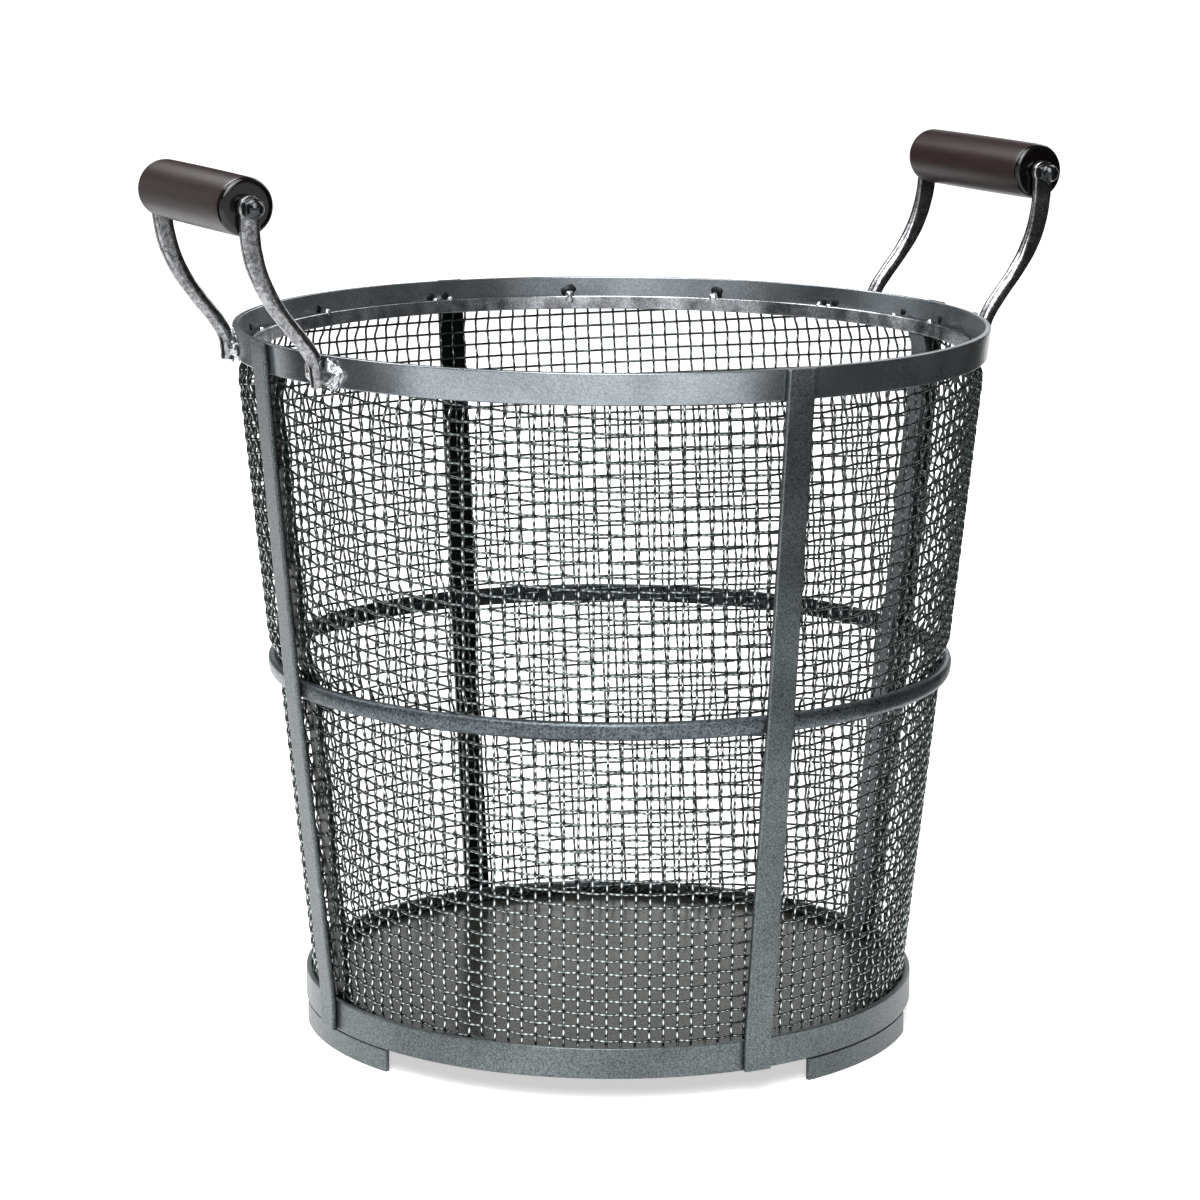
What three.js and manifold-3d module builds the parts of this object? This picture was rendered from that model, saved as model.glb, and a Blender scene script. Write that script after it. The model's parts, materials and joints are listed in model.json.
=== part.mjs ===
// Iron log bin: a tapered wire-mesh bin in a frame of flat bar, with two turned wooden grips.
// Millimetres, +Z up. The origin is on the floor under the centre of the bin, X runs through
// both handles and the front faces -Y.

import * as THREE from 'three';
import { mergeVertices } from 'three/addons/utils/BufferGeometryUtils.js';
import Module from 'manifold-3d';

const wasm = await Module();
wasm.setup();

// Fits
const gap = 0.3; // between pieces that touch
const gripClearance = 0.5; // a grip turns on its rod with this all round

// Overall form
const rimRadius = 200; // outside of the rim hoop, at its top edge
const rimHeight = 378; // top edge of the rim above the floor
const baseRadius = 164; // outside of the base hoop

// Flat bar of the rim and base hoops
const barWidth = 16;
const barThick = 3;

// Half-round hoop round the middle
const midHeight = 196.4;
const midWidth = 9.6;
const midDepth = 4.4;

// Band that clamps the top edge of the mesh from inside
const bandDrop = 10; // its top edge below the rim's top edge
const bandWidth = 7.5;
const bandThick = 2.5;

// Flat straps, one at each quarter
const strapWidth = 15;
const strapThick = 3;
const strapCount = 4;

// Feet: short lengths of bar under the base hoop
const footHeight = 12;
const footSpan = THREE.MathUtils.degToRad(36);
const footCount = 3;

// Floor plate
const floorHeight = 22; // top face above the ground
const floorThick = 2;

// Mesh: upright wires in panels, cross wires round the outside of them
const wireSize = 1.2;
const panelCount = 12;
const uprightsPerPanel = 7;
const crossWireCount = 26;
const edgeWireSize = 1.6; // the wire along the top and bottom edge of the mesh
const meshBelowFloor = 4; // how far the mesh runs down past the floor plate, behind the base hoop
const seamStripWidth = 15;
const seamStripThick = 1.5;

// Handles
const gripRadius = 15;
const gripLength = 112;
const gripEndRadius = 3.2;
const gripReach = 30; // grip axis beyond the rim's outside
const gripRise = 74.5; // grip axis above the rim
const rodRadius = 3;
const postRadius = 4; // the round bar at the foot of a post
const postPaddleHalfWidth = 5.2;
const postPaddleHalfThick = 2;
const postLowerBend = 18; // how far each bend of the S holds its direction
const postUpperBend = 43;
const postStraightFoot = 8;
const postStraightTop = 7.5;
const postFlattenFrom = 0.35; // share of the S where the round bar starts to flatten
const eyeRadius = 6.2;
const eyeThick = 4.5;
const nutAcrossFlats = 10;
const nutHexHeight = 5;
const nutDomeRadius = 4.6;
const nutRodDepth = 6; // how far the rod runs into a nut

// Facets: a cross wire has a corner at every second corner of a hoop, so that they nest
const hoopSides = 56;
const crossWireSides = hoopSides / 2;
const gripSides = 28;
const rodSides = 12;
const eyeSides = 24;
const postSides = 10;
const postSteps = 12;
const footSides = 5;
const hexSides = 6;
const domeRings = 8;
const midSteps = 4;
const gripEndSteps = 3;

// Worked out from the sizes above
const quarterTurn = Math.PI / 2;
const fullTurn = Math.PI * 2;
const hoopTop = footHeight + barWidth;
const rimBottom = rimHeight - barWidth;
const taper = (rimRadius - baseRadius) / (rimHeight - hoopTop);
const barOutside = (z) => baseRadius + taper * (z - hoopTop);
const meshOutside = (z) => barOutside(z) - barThick - gap;
const crossWireInside = (z) => (meshOutside(z) - wireSize) * Math.cos(Math.PI / crossWireSides);
const uprightOutside = (z) => crossWireInside(z) - gap;
const edgeWireInside = (z) => uprightOutside(z) - edgeWireSize;
const panelSpan = fullTurn / panelCount;
const uprightPitch = panelSpan / uprightsPerPanel;
const edgeWireFlat = Math.cos(uprightPitch / 2); // its flats lie this much nearer than its corners
const meshInside = (z) => edgeWireInside(z) * edgeWireFlat;
const wireInset = (edgeWireSize - wireSize) / 2; // an upright lies in the middle of its edge wires
const uprightInside = (z) => meshInside(z) + wireInset;
const floorBottom = floorHeight - floorThick;
const meshBottom = floorBottom - meshBelowFloor;
const meshTop = rimHeight - bandDrop - gap;
const bandTop = rimHeight - bandDrop;
const bandBottom = bandTop - bandWidth;

const paint = (colour, roughness, metalness) =>
  new THREE.MeshStandardMaterial({ color: colour, roughness, metalness });
const barPaint = () => paint(0x6e7472, 0.45, 0.65);
const platePaint = () => paint(0x66665f, 0.5, 0.55);
const wirePaint = () => paint(0x545957, 0.45, 0.65);
const forgedPaint = () => paint(0x4c4e4f, 0.35, 0.7);
const lacqueredWood = () => paint(0x35262a, 0.25, 0);
const darkSteel = () => paint(0x2c2d2e, 0.3, 0.8);

const bin = new THREE.Group();

function place(parent, name, geometry, material) {
  const mesh = new THREE.Mesh(geometry, material);
  mesh.name = name;
  parent.add(mesh);
  return mesh;
}

function turnedGroup(parent, angle) {
  const group = new THREE.Group();
  group.rotation.z = angle;
  parent.add(group);
  return group;
}

// Joins and cuts
function solidOf(geometry) {
  const bare = geometry.clone();
  bare.deleteAttribute('normal');
  bare.deleteAttribute('uv');
  const merged = mergeVertices(bare);
  return new wasm.Manifold(new wasm.Mesh({
    numProp: 3,
    vertProperties: Float32Array.from(merged.attributes.position.array),
    triVerts: Uint32Array.from(merged.index.array),
  }));
}

function geometryOf(solid) {
  const mesh = solid.getMesh();
  const geometry = new THREE.BufferGeometry();
  geometry.setAttribute('position', new THREE.BufferAttribute(mesh.vertProperties, mesh.numProp));
  geometry.setIndex(new THREE.BufferAttribute(mesh.triVerts, 1));
  return geometry;
}

// A ring about Z from a closed outline of [radius, height], counterclockwise
function ringAboutZ(outline, sides) {
  const points = [...outline, outline[0]].map(([r, z]) => new THREE.Vector2(r, z));
  return new THREE.LatheGeometry(points, sides).rotateX(quarterTurn);
}

// A closed skin over a row of sections, each counterclockwise as seen from the far end
function loft(sections) {
  const count = sections[0].length;
  const positions = sections.flat().flatMap((p) => p.toArray());
  const index = [];
  for (let row = 0; row + 1 < sections.length; row++) {
    for (let k = 0; k < count; k++) {
      const next = (k + 1) % count;
      const a = row * count + k;
      const b = row * count + next;
      index.push(a, b, b + count, a, b + count, a + count);
    }
  }
  const last = (sections.length - 1) * count;
  for (let k = 1; k + 1 < count; k++) {
    index.push(0, k + 1, k);
    index.push(last, last + k, last + k + 1);
  }
  const geometry = new THREE.BufferGeometry();
  geometry.setAttribute('position', new THREE.Float32BufferAttribute(positions, 3));
  geometry.setIndex(index);
  return geometry;
}

// A point at a radius and an angle, moved sideways along the tangent
function polar(radius, angle, z, sideways = 0) {
  return new THREE.Vector3(
    radius * Math.cos(angle) - sideways * Math.sin(angle),
    radius * Math.sin(angle) + sideways * Math.cos(angle),
    z,
  );
}

// A straight bar that leans with the wall, between two heights
function leaningBar(angle, width, inside, outside, z0, z1) {
  const section = (z) => [
    polar(inside(z), angle, z, -width / 2),
    polar(outside(z), angle, z, -width / 2),
    polar(outside(z), angle, z, width / 2),
    polar(inside(z), angle, z, width / 2),
  ];
  return loft([section(z0), section(z1)]);
}

// Hoops
function buildHoops() {
  const baseInside = baseRadius - barThick;
  const baseOutline = [
    [baseRadius, footHeight], [baseRadius, hoopTop], [baseInside, hoopTop], [baseInside, footHeight],
  ];
  place(bin, 'base_hoop', ringAboutZ(baseOutline, hoopSides), barPaint());

  const rimOutline = [
    [barOutside(rimBottom), rimBottom], [rimRadius, rimHeight],
    [rimRadius - barThick, rimHeight], [barOutside(rimBottom) - barThick, rimBottom],
  ];
  place(bin, 'rim_hoop', ringAboutZ(rimOutline, hoopSides), barPaint());

  const bandOutside = (z) => meshInside(z) - gap;
  const bandOutline = [
    [bandOutside(bandBottom), bandBottom], [bandOutside(bandTop), bandTop],
    [bandOutside(bandTop) - bandThick, bandTop], [bandOutside(bandBottom) - bandThick, bandBottom],
  ];
  place(bin, 'rim_inner_band', ringAboutZ(bandOutline, hoopSides), barPaint());

  const midInside = (z) => meshOutside(z) + gap;
  const midOutline = [];
  for (let k = 0; k <= midSteps; k++) {
    const turn = -quarterTurn + Math.PI * (k / midSteps);
    const z = midHeight + (midWidth / 2) * Math.sin(turn);
    midOutline.push([midInside(z) + midDepth * Math.cos(turn), z]);
  }
  place(bin, 'mid_hoop', ringAboutZ(midOutline, hoopSides), barPaint());

  const floorRadius = uprightInside(floorBottom) - gap;
  const floorDisc = new THREE.CylinderGeometry(floorRadius, floorRadius, floorThick, hoopSides);
  floorDisc.rotateX(quarterTurn);
  place(bin, 'floor_plate', floorDisc, platePaint()).position.z = floorHeight - floorThick / 2;
}

// Straps: flat bar bent over the base hoop, the crown of the middle hoop and the rim
function buildStraps() {
  const midCrown = meshOutside(midHeight) + gap + midDepth;
  const face = [
    [baseRadius, footHeight], [baseRadius, hoopTop], [midCrown, midHeight],
    [barOutside(rimBottom), rimBottom], [rimRadius, rimHeight],
  ].map(([r, z]) => new THREE.Vector2(r + gap, z));
  const back = face.map((p) => new THREE.Vector2(p.x + strapThick, p.y)).reverse();
  const geometry = new THREE.ExtrudeGeometry(new THREE.Shape([...face, ...back]), {
    depth: strapWidth, bevelEnabled: false,
  });
  geometry.translate(0, 0, -strapWidth / 2).rotateX(quarterTurn);
  const names = ['strap_right', 'strap_back', 'strap_left', 'strap_front'];
  for (let k = 0; k < strapCount; k++) {
    place(turnedGroup(bin, (k * fullTurn) / strapCount), names[k], geometry, barPaint());
  }
}

// Feet: one under the left strap and the others a third of a turn on
function buildFeet() {
  const outline = new THREE.Shape();
  outline.absarc(0, 0, baseRadius, -footSpan / 2, footSpan / 2, false);
  outline.absarc(0, 0, baseRadius - barThick, footSpan / 2, -footSpan / 2, true);
  const geometry = new THREE.ExtrudeGeometry(outline, {
    depth: footHeight - gap, bevelEnabled: false, curveSegments: footSides,
  });
  const names = ['foot_left', 'foot_front', 'foot_back'];
  for (let k = 0; k < footCount; k++) {
    place(turnedGroup(bin, Math.PI + (k * fullTurn) / footCount), names[k], geometry, barPaint());
  }
}

// Mesh panels: upright wires between an edge wire at the bottom and one at the top
function buildPanels() {
  const edgeWire = (z) => {
    const top = z + edgeWireSize;
    const halfSpan = (panelSpan - gap / edgeWireInside(z)) / 2;
    const corners = [-halfSpan];
    for (let k = 1; k < uprightsPerPanel; k++) {
      corners.push(-panelSpan / 2 + k * uprightPitch);
    }
    corners.push(halfSpan);
    return loft(corners.map((angle) => [
      polar(edgeWireInside(z), angle, z),
      polar(edgeWireInside(top), angle, top),
      polar(uprightOutside(top), angle, top),
      polar(uprightOutside(z), angle, z),
    ]));
  };
  const bottomEdge = meshBottom;
  const topEdge = meshTop - edgeWireSize;
  let panel = solidOf(edgeWire(bottomEdge)).add(solidOf(edgeWire(topEdge)));
  for (let k = 0; k < uprightsPerPanel; k++) {
    const angle = -panelSpan / 2 + (k + 0.5) * uprightPitch;
    const sunk = edgeWireSize / 2;
    const upright = leaningBar(
      angle, wireSize,
      uprightInside, (z) => uprightOutside(z) * edgeWireFlat - wireInset,
      bottomEdge + sunk, topEdge + sunk,
    );
    panel = panel.add(solidOf(upright));
  }
  const geometry = geometryOf(panel);
  for (let k = 0; k < panelCount; k++) {
    const name = `mesh_panel_${String(k + 1).padStart(2, '0')}`;
    place(turnedGroup(bin, k * panelSpan), name, geometry, wirePaint());
  }
}

// Cross wires: rings round the panels, joined by the last upright wire at the right seam
function buildCrossWires() {
  const pitch = (meshTop - meshBottom) / (crossWireCount + 1);
  let wires = solidOf(leaningBar(
    0, wireSize, crossWireInside, (z) => meshOutside(z) - gap,
    meshBottom + pitch / 2, meshTop - pitch / 2,
  ));
  for (let k = 1; k <= crossWireCount; k++) {
    const z = meshBottom + k * pitch;
    const inside = meshOutside(z) - wireSize;
    const outline = [
      [inside, z - wireSize / 2], [meshOutside(z), z], [inside, z + wireSize / 2],
    ];
    wires = wires.add(solidOf(ringAboutZ(outline, crossWireSides)));
  }
  place(bin, 'mesh_cross_wires', geometryOf(wires), wirePaint());

  // Strips behind the two seams: flat, so they stand in far enough to clear the round of the mesh
  const stripOutside = (z) => Math.sqrt(meshInside(z) ** 2 - (seamStripWidth / 2) ** 2) - gap;
  const strip = leaningBar(
    0, seamStripWidth, (z) => stripOutside(z) - seamStripThick, stripOutside,
    floorHeight + gap, bandBottom - gap,
  );
  place(bin, 'seam_strip', strip, barPaint());
  place(turnedGroup(bin, Math.PI), 'seam_strip_left', strip, barPaint());
}

// Handles, built for the right side; the left one is the same turned half round
function buildHandles() {
  const gripX = rimRadius + gripReach;
  const gripZ = rimHeight + gripRise;
  const postY = gripLength / 2 + gap + eyeThick / 2;
  const eyeFace = postY + eyeThick / 2 + gap;

  // The S of a post: a straight foot against the rim, two bends, a straight top into the eye
  const againstRim = (z) => new THREE.Vector3(
    Math.sqrt((barOutside(z) + gap + postRadius) ** 2 - postY ** 2), 0, z,
  );
  const up = new THREE.Vector3(0, 0, 1);
  const foot = againstRim(rimBottom);
  const bendStart = againstRim(rimBottom + postStraightFoot);
  const bendEnd = new THREE.Vector3(gripX, 0, gripZ - postStraightTop);
  const footDirection = bendStart.clone().sub(foot).normalize();
  const bends = new THREE.CubicBezierCurve3(
    bendStart, bendStart.clone().addScaledVector(footDirection, postLowerBend),
    bendEnd.clone().addScaledVector(up, -postUpperBend), bendEnd,
  );
  const section = (centre, along, share) => {
    const across = new THREE.Vector3(along.z, 0, -along.x);
    const halfWidth = THREE.MathUtils.lerp(postRadius, postPaddleHalfWidth, share);
    const halfThick = THREE.MathUtils.lerp(postRadius, postPaddleHalfThick, share);
    const points = [];
    for (let k = 0; k < postSides; k++) {
      const turn = ((k + 0.5) / postSides) * fullTurn;
      const point = centre.clone().addScaledVector(across, halfWidth * Math.cos(turn));
      point.y += halfThick * Math.sin(turn);
      points.push(point);
    }
    return points;
  };
  const sections = [section(foot, footDirection, 0)];
  for (let k = 0; k <= postSteps; k++) {
    const t = k / postSteps;
    const flattened = THREE.MathUtils.smoothstep(t, postFlattenFrom, 1);
    sections.push(section(bends.getPoint(t), bends.getTangent(t), flattened));
  }
  sections.push(section(new THREE.Vector3(gripX, 0, gripZ), up, 1));
  const cylinderAlongY = (radius, length, sides) => new THREE.CylinderGeometry(radius, radius, length, sides);
  const eye = cylinderAlongY(eyeRadius, eyeThick, eyeSides).translate(gripX, 0, gripZ);
  const eyeHole = cylinderAlongY(rodRadius + gap, eyeThick * 2, rodSides).translate(gripX, 0, gripZ);
  const post = geometryOf(solidOf(loft(sections)).add(solidOf(eye)).subtract(solidOf(eyeHole)));

  // A turned grip with rounded ends, bored for its rod
  const boreRadius = rodRadius + gripClearance;
  const halfGrip = gripLength / 2;
  const gripOutline = [new THREE.Vector2(boreRadius, -halfGrip)];
  for (let k = 0; k <= gripEndSteps; k++) {
    const turn = quarterTurn * (1 - k / gripEndSteps);
    gripOutline.push(new THREE.Vector2(
      gripRadius - gripEndRadius * (1 - Math.cos(turn)), -halfGrip + gripEndRadius * (1 - Math.sin(turn)),
    ));
  }
  const upperHalf = gripOutline.map((p) => new THREE.Vector2(p.x, -p.y)).reverse();
  const grip = new THREE.LatheGeometry([...gripOutline, ...upperHalf, gripOutline[0]], gripSides);

  // A domed nut on the end of the rod, its seat at the origin and the dome along +Y
  const hexCorner = nutAcrossFlats / Math.sqrt(3);
  const hex = new THREE.CylinderGeometry(hexCorner, hexCorner, nutHexHeight, hexSides);
  hex.translate(0, nutHexHeight / 2, 0);
  const dome = new THREE.SphereGeometry(nutDomeRadius, rodSides, domeRings).translate(0, nutHexHeight, 0);
  const blindDepth = nutRodDepth + gap;
  const blindHole = cylinderAlongY(rodRadius + gap, blindDepth * 2, rodSides);
  const nut = geometryOf(solidOf(hex).add(solidOf(dome)).subtract(solidOf(blindHole)));
  const rod = cylinderAlongY(rodRadius, 2 * (eyeFace + nutRodDepth), rodSides);

  const sides = [
    { side: 'right', angle: 0, ends: [['front', -1], ['back', 1]] },
    { side: 'left', angle: Math.PI, ends: [['back', -1], ['front', 1]] },
  ];
  for (const { side, angle, ends } of sides) {
    const handle = turnedGroup(bin, angle);
    place(handle, `grip_${side}`, grip, lacqueredWood()).position.set(gripX, 0, gripZ);
    place(handle, `rod_${side}`, rod, darkSteel()).position.set(gripX, 0, gripZ);
    for (const [end, sign] of ends) {
      place(handle, `post_${side}_${end}`, post, forgedPaint()).position.y = sign * postY;
      const cap = place(handle, `nut_${side}_${end}`, nut, darkSteel());
      cap.position.set(gripX, sign * eyeFace, gripZ);
      cap.rotation.x = sign > 0 ? 0 : Math.PI;
    }
  }
}

buildHoops();
buildStraps();
buildFeet();
buildPanels();
buildCrossWires();
buildHandles();

export default bin;
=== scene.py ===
import json
import math
import bpy
import numpy as np
from mathutils import Matrix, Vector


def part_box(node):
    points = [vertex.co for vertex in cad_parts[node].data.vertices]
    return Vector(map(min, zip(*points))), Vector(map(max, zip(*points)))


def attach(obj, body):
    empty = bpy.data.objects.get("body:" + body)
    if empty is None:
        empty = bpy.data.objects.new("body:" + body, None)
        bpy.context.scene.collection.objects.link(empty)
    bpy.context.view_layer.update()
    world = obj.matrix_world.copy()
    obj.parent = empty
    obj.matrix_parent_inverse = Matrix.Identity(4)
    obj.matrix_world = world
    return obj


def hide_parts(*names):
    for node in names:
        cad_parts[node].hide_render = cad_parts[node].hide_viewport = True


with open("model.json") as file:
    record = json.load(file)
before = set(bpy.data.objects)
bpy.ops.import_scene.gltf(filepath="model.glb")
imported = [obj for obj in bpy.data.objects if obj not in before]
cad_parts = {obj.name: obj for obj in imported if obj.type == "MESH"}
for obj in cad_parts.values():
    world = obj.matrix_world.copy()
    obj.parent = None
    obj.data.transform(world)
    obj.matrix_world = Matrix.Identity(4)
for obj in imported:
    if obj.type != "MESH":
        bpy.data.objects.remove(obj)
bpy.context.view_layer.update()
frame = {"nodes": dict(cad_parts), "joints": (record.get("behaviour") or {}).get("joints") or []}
print("frame loaded:", len(frame["nodes"]), "nodes")

mm = 0.001
fullTurn = 2 * math.pi
upward = np.array([0.0, 0.0, 1.0])

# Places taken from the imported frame
rimLow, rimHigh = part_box("rim_hoop")
baseLow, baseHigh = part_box("base_hoop")
bandLow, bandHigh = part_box("rim_inner_band")
midLow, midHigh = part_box("mid_hoop")
plateLow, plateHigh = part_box("floor_plate")
strapLow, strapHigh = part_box("strap_right")
postLow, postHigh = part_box("post_right_back")
gripLow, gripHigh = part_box("grip_right")
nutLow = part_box("nut_right_back")[0]
gripAxis = {joint["child"]: np.array(joint["pos_m"]) for joint in frame["joints"]}
taper = (rimHigh.x - baseHigh.x) / (rimHigh.z - baseHigh.z)
lean = math.atan(taper)
barThick = 3 * mm
seatGap = 0.3 * mm


def wallOutside(z):
    # Radius of the outside of the hoops' cone at a height
    return baseHigh.x + taper * (z - baseHigh.z)


# Materials

def linear(hexColour):
    # sRGB hex to linear light
    channels = np.array([int(hexColour[k:k + 2], 16) for k in (1, 3, 5)]) / 255
    lit = np.where(channels <= 0.04045, channels / 12.92, ((channels + 0.055) / 1.055) ** 2.4)
    return (*(float(c) for c in lit), 1.0)


def feed(tree, node, inputs):
    # A node's inputs, each a value or another node's output
    for socket, value in inputs.items():
        if isinstance(value, bpy.types.NodeSocket):
            tree.links.new(value, node.inputs[socket])
        else:
            node.inputs[socket].default_value = value


def addNode(tree, kind, settings=None, inputs=None, ramp=None):
    # A shader node with its settings, its inputs, and a ramp's stops as (place, colour)
    made = tree.nodes.new("ShaderNode" + kind)
    for key, value in (settings or {}).items():
        setattr(made, key, value)
    feed(tree, made, inputs or {})
    if ramp:
        stops = made.color_ramp.elements
        for place, _ in ramp[1:-1]:
            stops.new(place)
        for stop, (place, colour) in zip(stops, ramp):
            stop.position, stop.color = place, linear(colour)
    return made


def startMaterial(name):
    material = bpy.data.materials.new(name)
    material.use_nodes = True
    tree = material.node_tree
    tree.nodes.clear()
    shader = addNode(tree, "BsdfPrincipled")
    addNode(tree, "OutputMaterial", {}, {"Surface": shader.outputs["BSDF"]})
    place = addNode(tree, "TexCoord").outputs["Object"]
    return material, tree, shader, place


tint = {"data_type": "RGBA", "blend_type": "MULTIPLY"}  # a mix node that multiplies two colours
roughSpread = 0.05  # how far a coat's roughness strays from patch to patch


def hammeredCoat(name, look):
    # Hammer-finish powder coat baked on steel: a skin of metal flake that shrinks into small cells,
    # so the eye sees a satin grey that sparkles in fine worm-like flecks and darkens a little in patches
    material, tree, shader, place = startMaterial(name)
    cells = addNode(tree, "TexNoise", {}, {
        "Vector": place, "Scale": 1 / look["cell"], "Detail": 2.0, "Roughness": 0.6, "Distortion": 0.8})
    patches = addNode(tree, "TexNoise", {}, {
        "Vector": place, "Scale": 1 / look["patch"], "Detail": 2.0})
    flecks = addNode(tree, "ValToRGB", {}, {"Fac": cells.outputs["Fac"]},
                     [(0.38, look["dark"]), (0.62, look["light"])])
    shade = addNode(tree, "ValToRGB", {}, {"Fac": patches.outputs["Fac"]},
                    [(0.35, look.get("worn", "#d8d8d8")), (0.65, "#ffffff")])
    colour = addNode(tree, "Mix", tint, {
        0: 1.0, 6: flecks.outputs["Color"], 7: shade.outputs["Color"]})
    if "inside" in look:  # painted shade: faces that look into the bin are darkened, standing in for the shade inside it
        outer = addNode(tree, "Attribute", {"attribute_name": "outerFace"}).outputs["Fac"]
        paintedInsideShade = addNode(tree, "ValToRGB", {}, {"Fac": outer},
                          [(0.1, look["inside"]), (0.6, "#ffffff")])
        colour = addNode(tree, "Mix", tint, {
            0: 1.0, 6: colour.outputs[2], 7: paintedInsideShade.outputs["Color"]})
    if "paintedGlintsAndShade" in look:  # painted glints and painted shade: some slopes along a crimped wire are painted bright and others painted dark
        wave = addNode(tree, "Attribute", {"attribute_name": "wavePlace"}).outputs["Fac"]
        facing = addNode(tree, "Attribute", {"attribute_name": "waveFacing"}).outputs["Fac"]
        wavePart = addNode(tree, "Math", {"operation": "FRACT"}, {0: wave})
        paintedGlint = addNode(tree, "ValToRGB", {}, {"Fac": wavePart.outputs["Value"]}, look["paintedGlintsAndShade"])
        seen = addNode(tree, "Math", {"operation": "MULTIPLY"}, {
            0: paintedGlint.outputs["Color"], 1: facing})
        paintedGlintStrength = addNode(tree, "MapRange", {"interpolation_type": "SMOOTHSTEP"}, {
            "Value": seen.outputs["Value"], "From Min": 0.2, "From Max": 0.75})
        paintedDips = addNode(tree, "ValToRGB", {}, {"Fac": paintedGlint.outputs["Color"]},
                         [(0.0, look["paintedDipShade"]), (0.3, "#ffffff")])
        coatWithPaintedDips = addNode(tree, "Mix", tint, {
            0: 1.0, 6: colour.outputs[2], 7: paintedDips.outputs["Color"]})
        colour = addNode(tree, "Mix", {"data_type": "RGBA"}, {
            0: paintedGlintStrength.outputs["Result"], 6: coatWithPaintedDips.outputs[2], 7: linear(look["paintedHighlight"])})
    rough = addNode(tree, "MapRange", {}, {
        "Value": patches.outputs["Fac"], "From Min": 0.3, "From Max": 0.7,
        "To Min": look["rough"] - roughSpread, "To Max": look["rough"] + roughSpread})
    bump = addNode(tree, "Bump", {}, {
        "Height": cells.outputs["Fac"], "Distance": look["depth"], "Strength": 1.0})
    feed(tree, shader, {"Base Color": colour.outputs[2], "Roughness": rough.outputs["Result"],
                        "Metallic": look["metal"], "Normal": bump.outputs["Normal"]})
    return material


def lacqueredHardwood(name, look):
    # Stained and lacquered turned hardwood: fine dark pores run along the grip under a satin coat,
    # so the eye sees a near-black purple brown with a broad soft sheen, and black gloss where the end grain
    # drank the stain
    material, tree, shader, place = startMaterial(name)
    alongGrain = addNode(tree, "Mapping", {}, {
        "Vector": place, "Scale": (1.0, look["grainStretch"], 1.0)})
    grain = addNode(tree, "TexNoise", {}, {
        "Vector": alongGrain.outputs["Vector"], "Scale": 1 / look["grain"], "Detail": 4.0, "Roughness": 0.65})
    colour = addNode(tree, "ValToRGB", {}, {"Fac": grain.outputs["Fac"]},
                     [(0.35, look["dark"]), (0.7, look["light"])])
    bump = addNode(tree, "Bump", {}, {
        "Height": grain.outputs["Fac"], "Distance": look["poreDepth"], "Strength": 0.4})
    along = addNode(tree, "SeparateXYZ", {}, {0: place}).outputs["Y"]
    fromMiddle = addNode(tree, "Math", {"operation": "ABSOLUTE"}, {0: along})
    atEnd = addNode(tree, "MapRange", {}, {
        "Value": fromMiddle.outputs["Value"], "From Min": look["endFrom"], "From Max": look["endTo"]})
    stained = addNode(tree, "Mix", {"data_type": "RGBA"}, {
        0: atEnd.outputs["Result"], 6: colour.outputs["Color"], 7: linear(look["endGrain"])})
    rough = addNode(tree, "MapRange", {}, {
        "Value": atEnd.outputs["Result"], "To Min": look["rough"], "To Max": look["endRough"]})
    gloss = addNode(tree, "MapRange", {}, {
        "Value": atEnd.outputs["Result"], "To Min": look["gloss"], "To Max": look["endGloss"]})
    feed(tree, shader, {"Base Color": stained.outputs[2], "Roughness": rough.outputs["Result"],
                        "Specular IOR Level": gloss.outputs["Result"], "Normal": bump.outputs["Normal"]})
    return material


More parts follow.
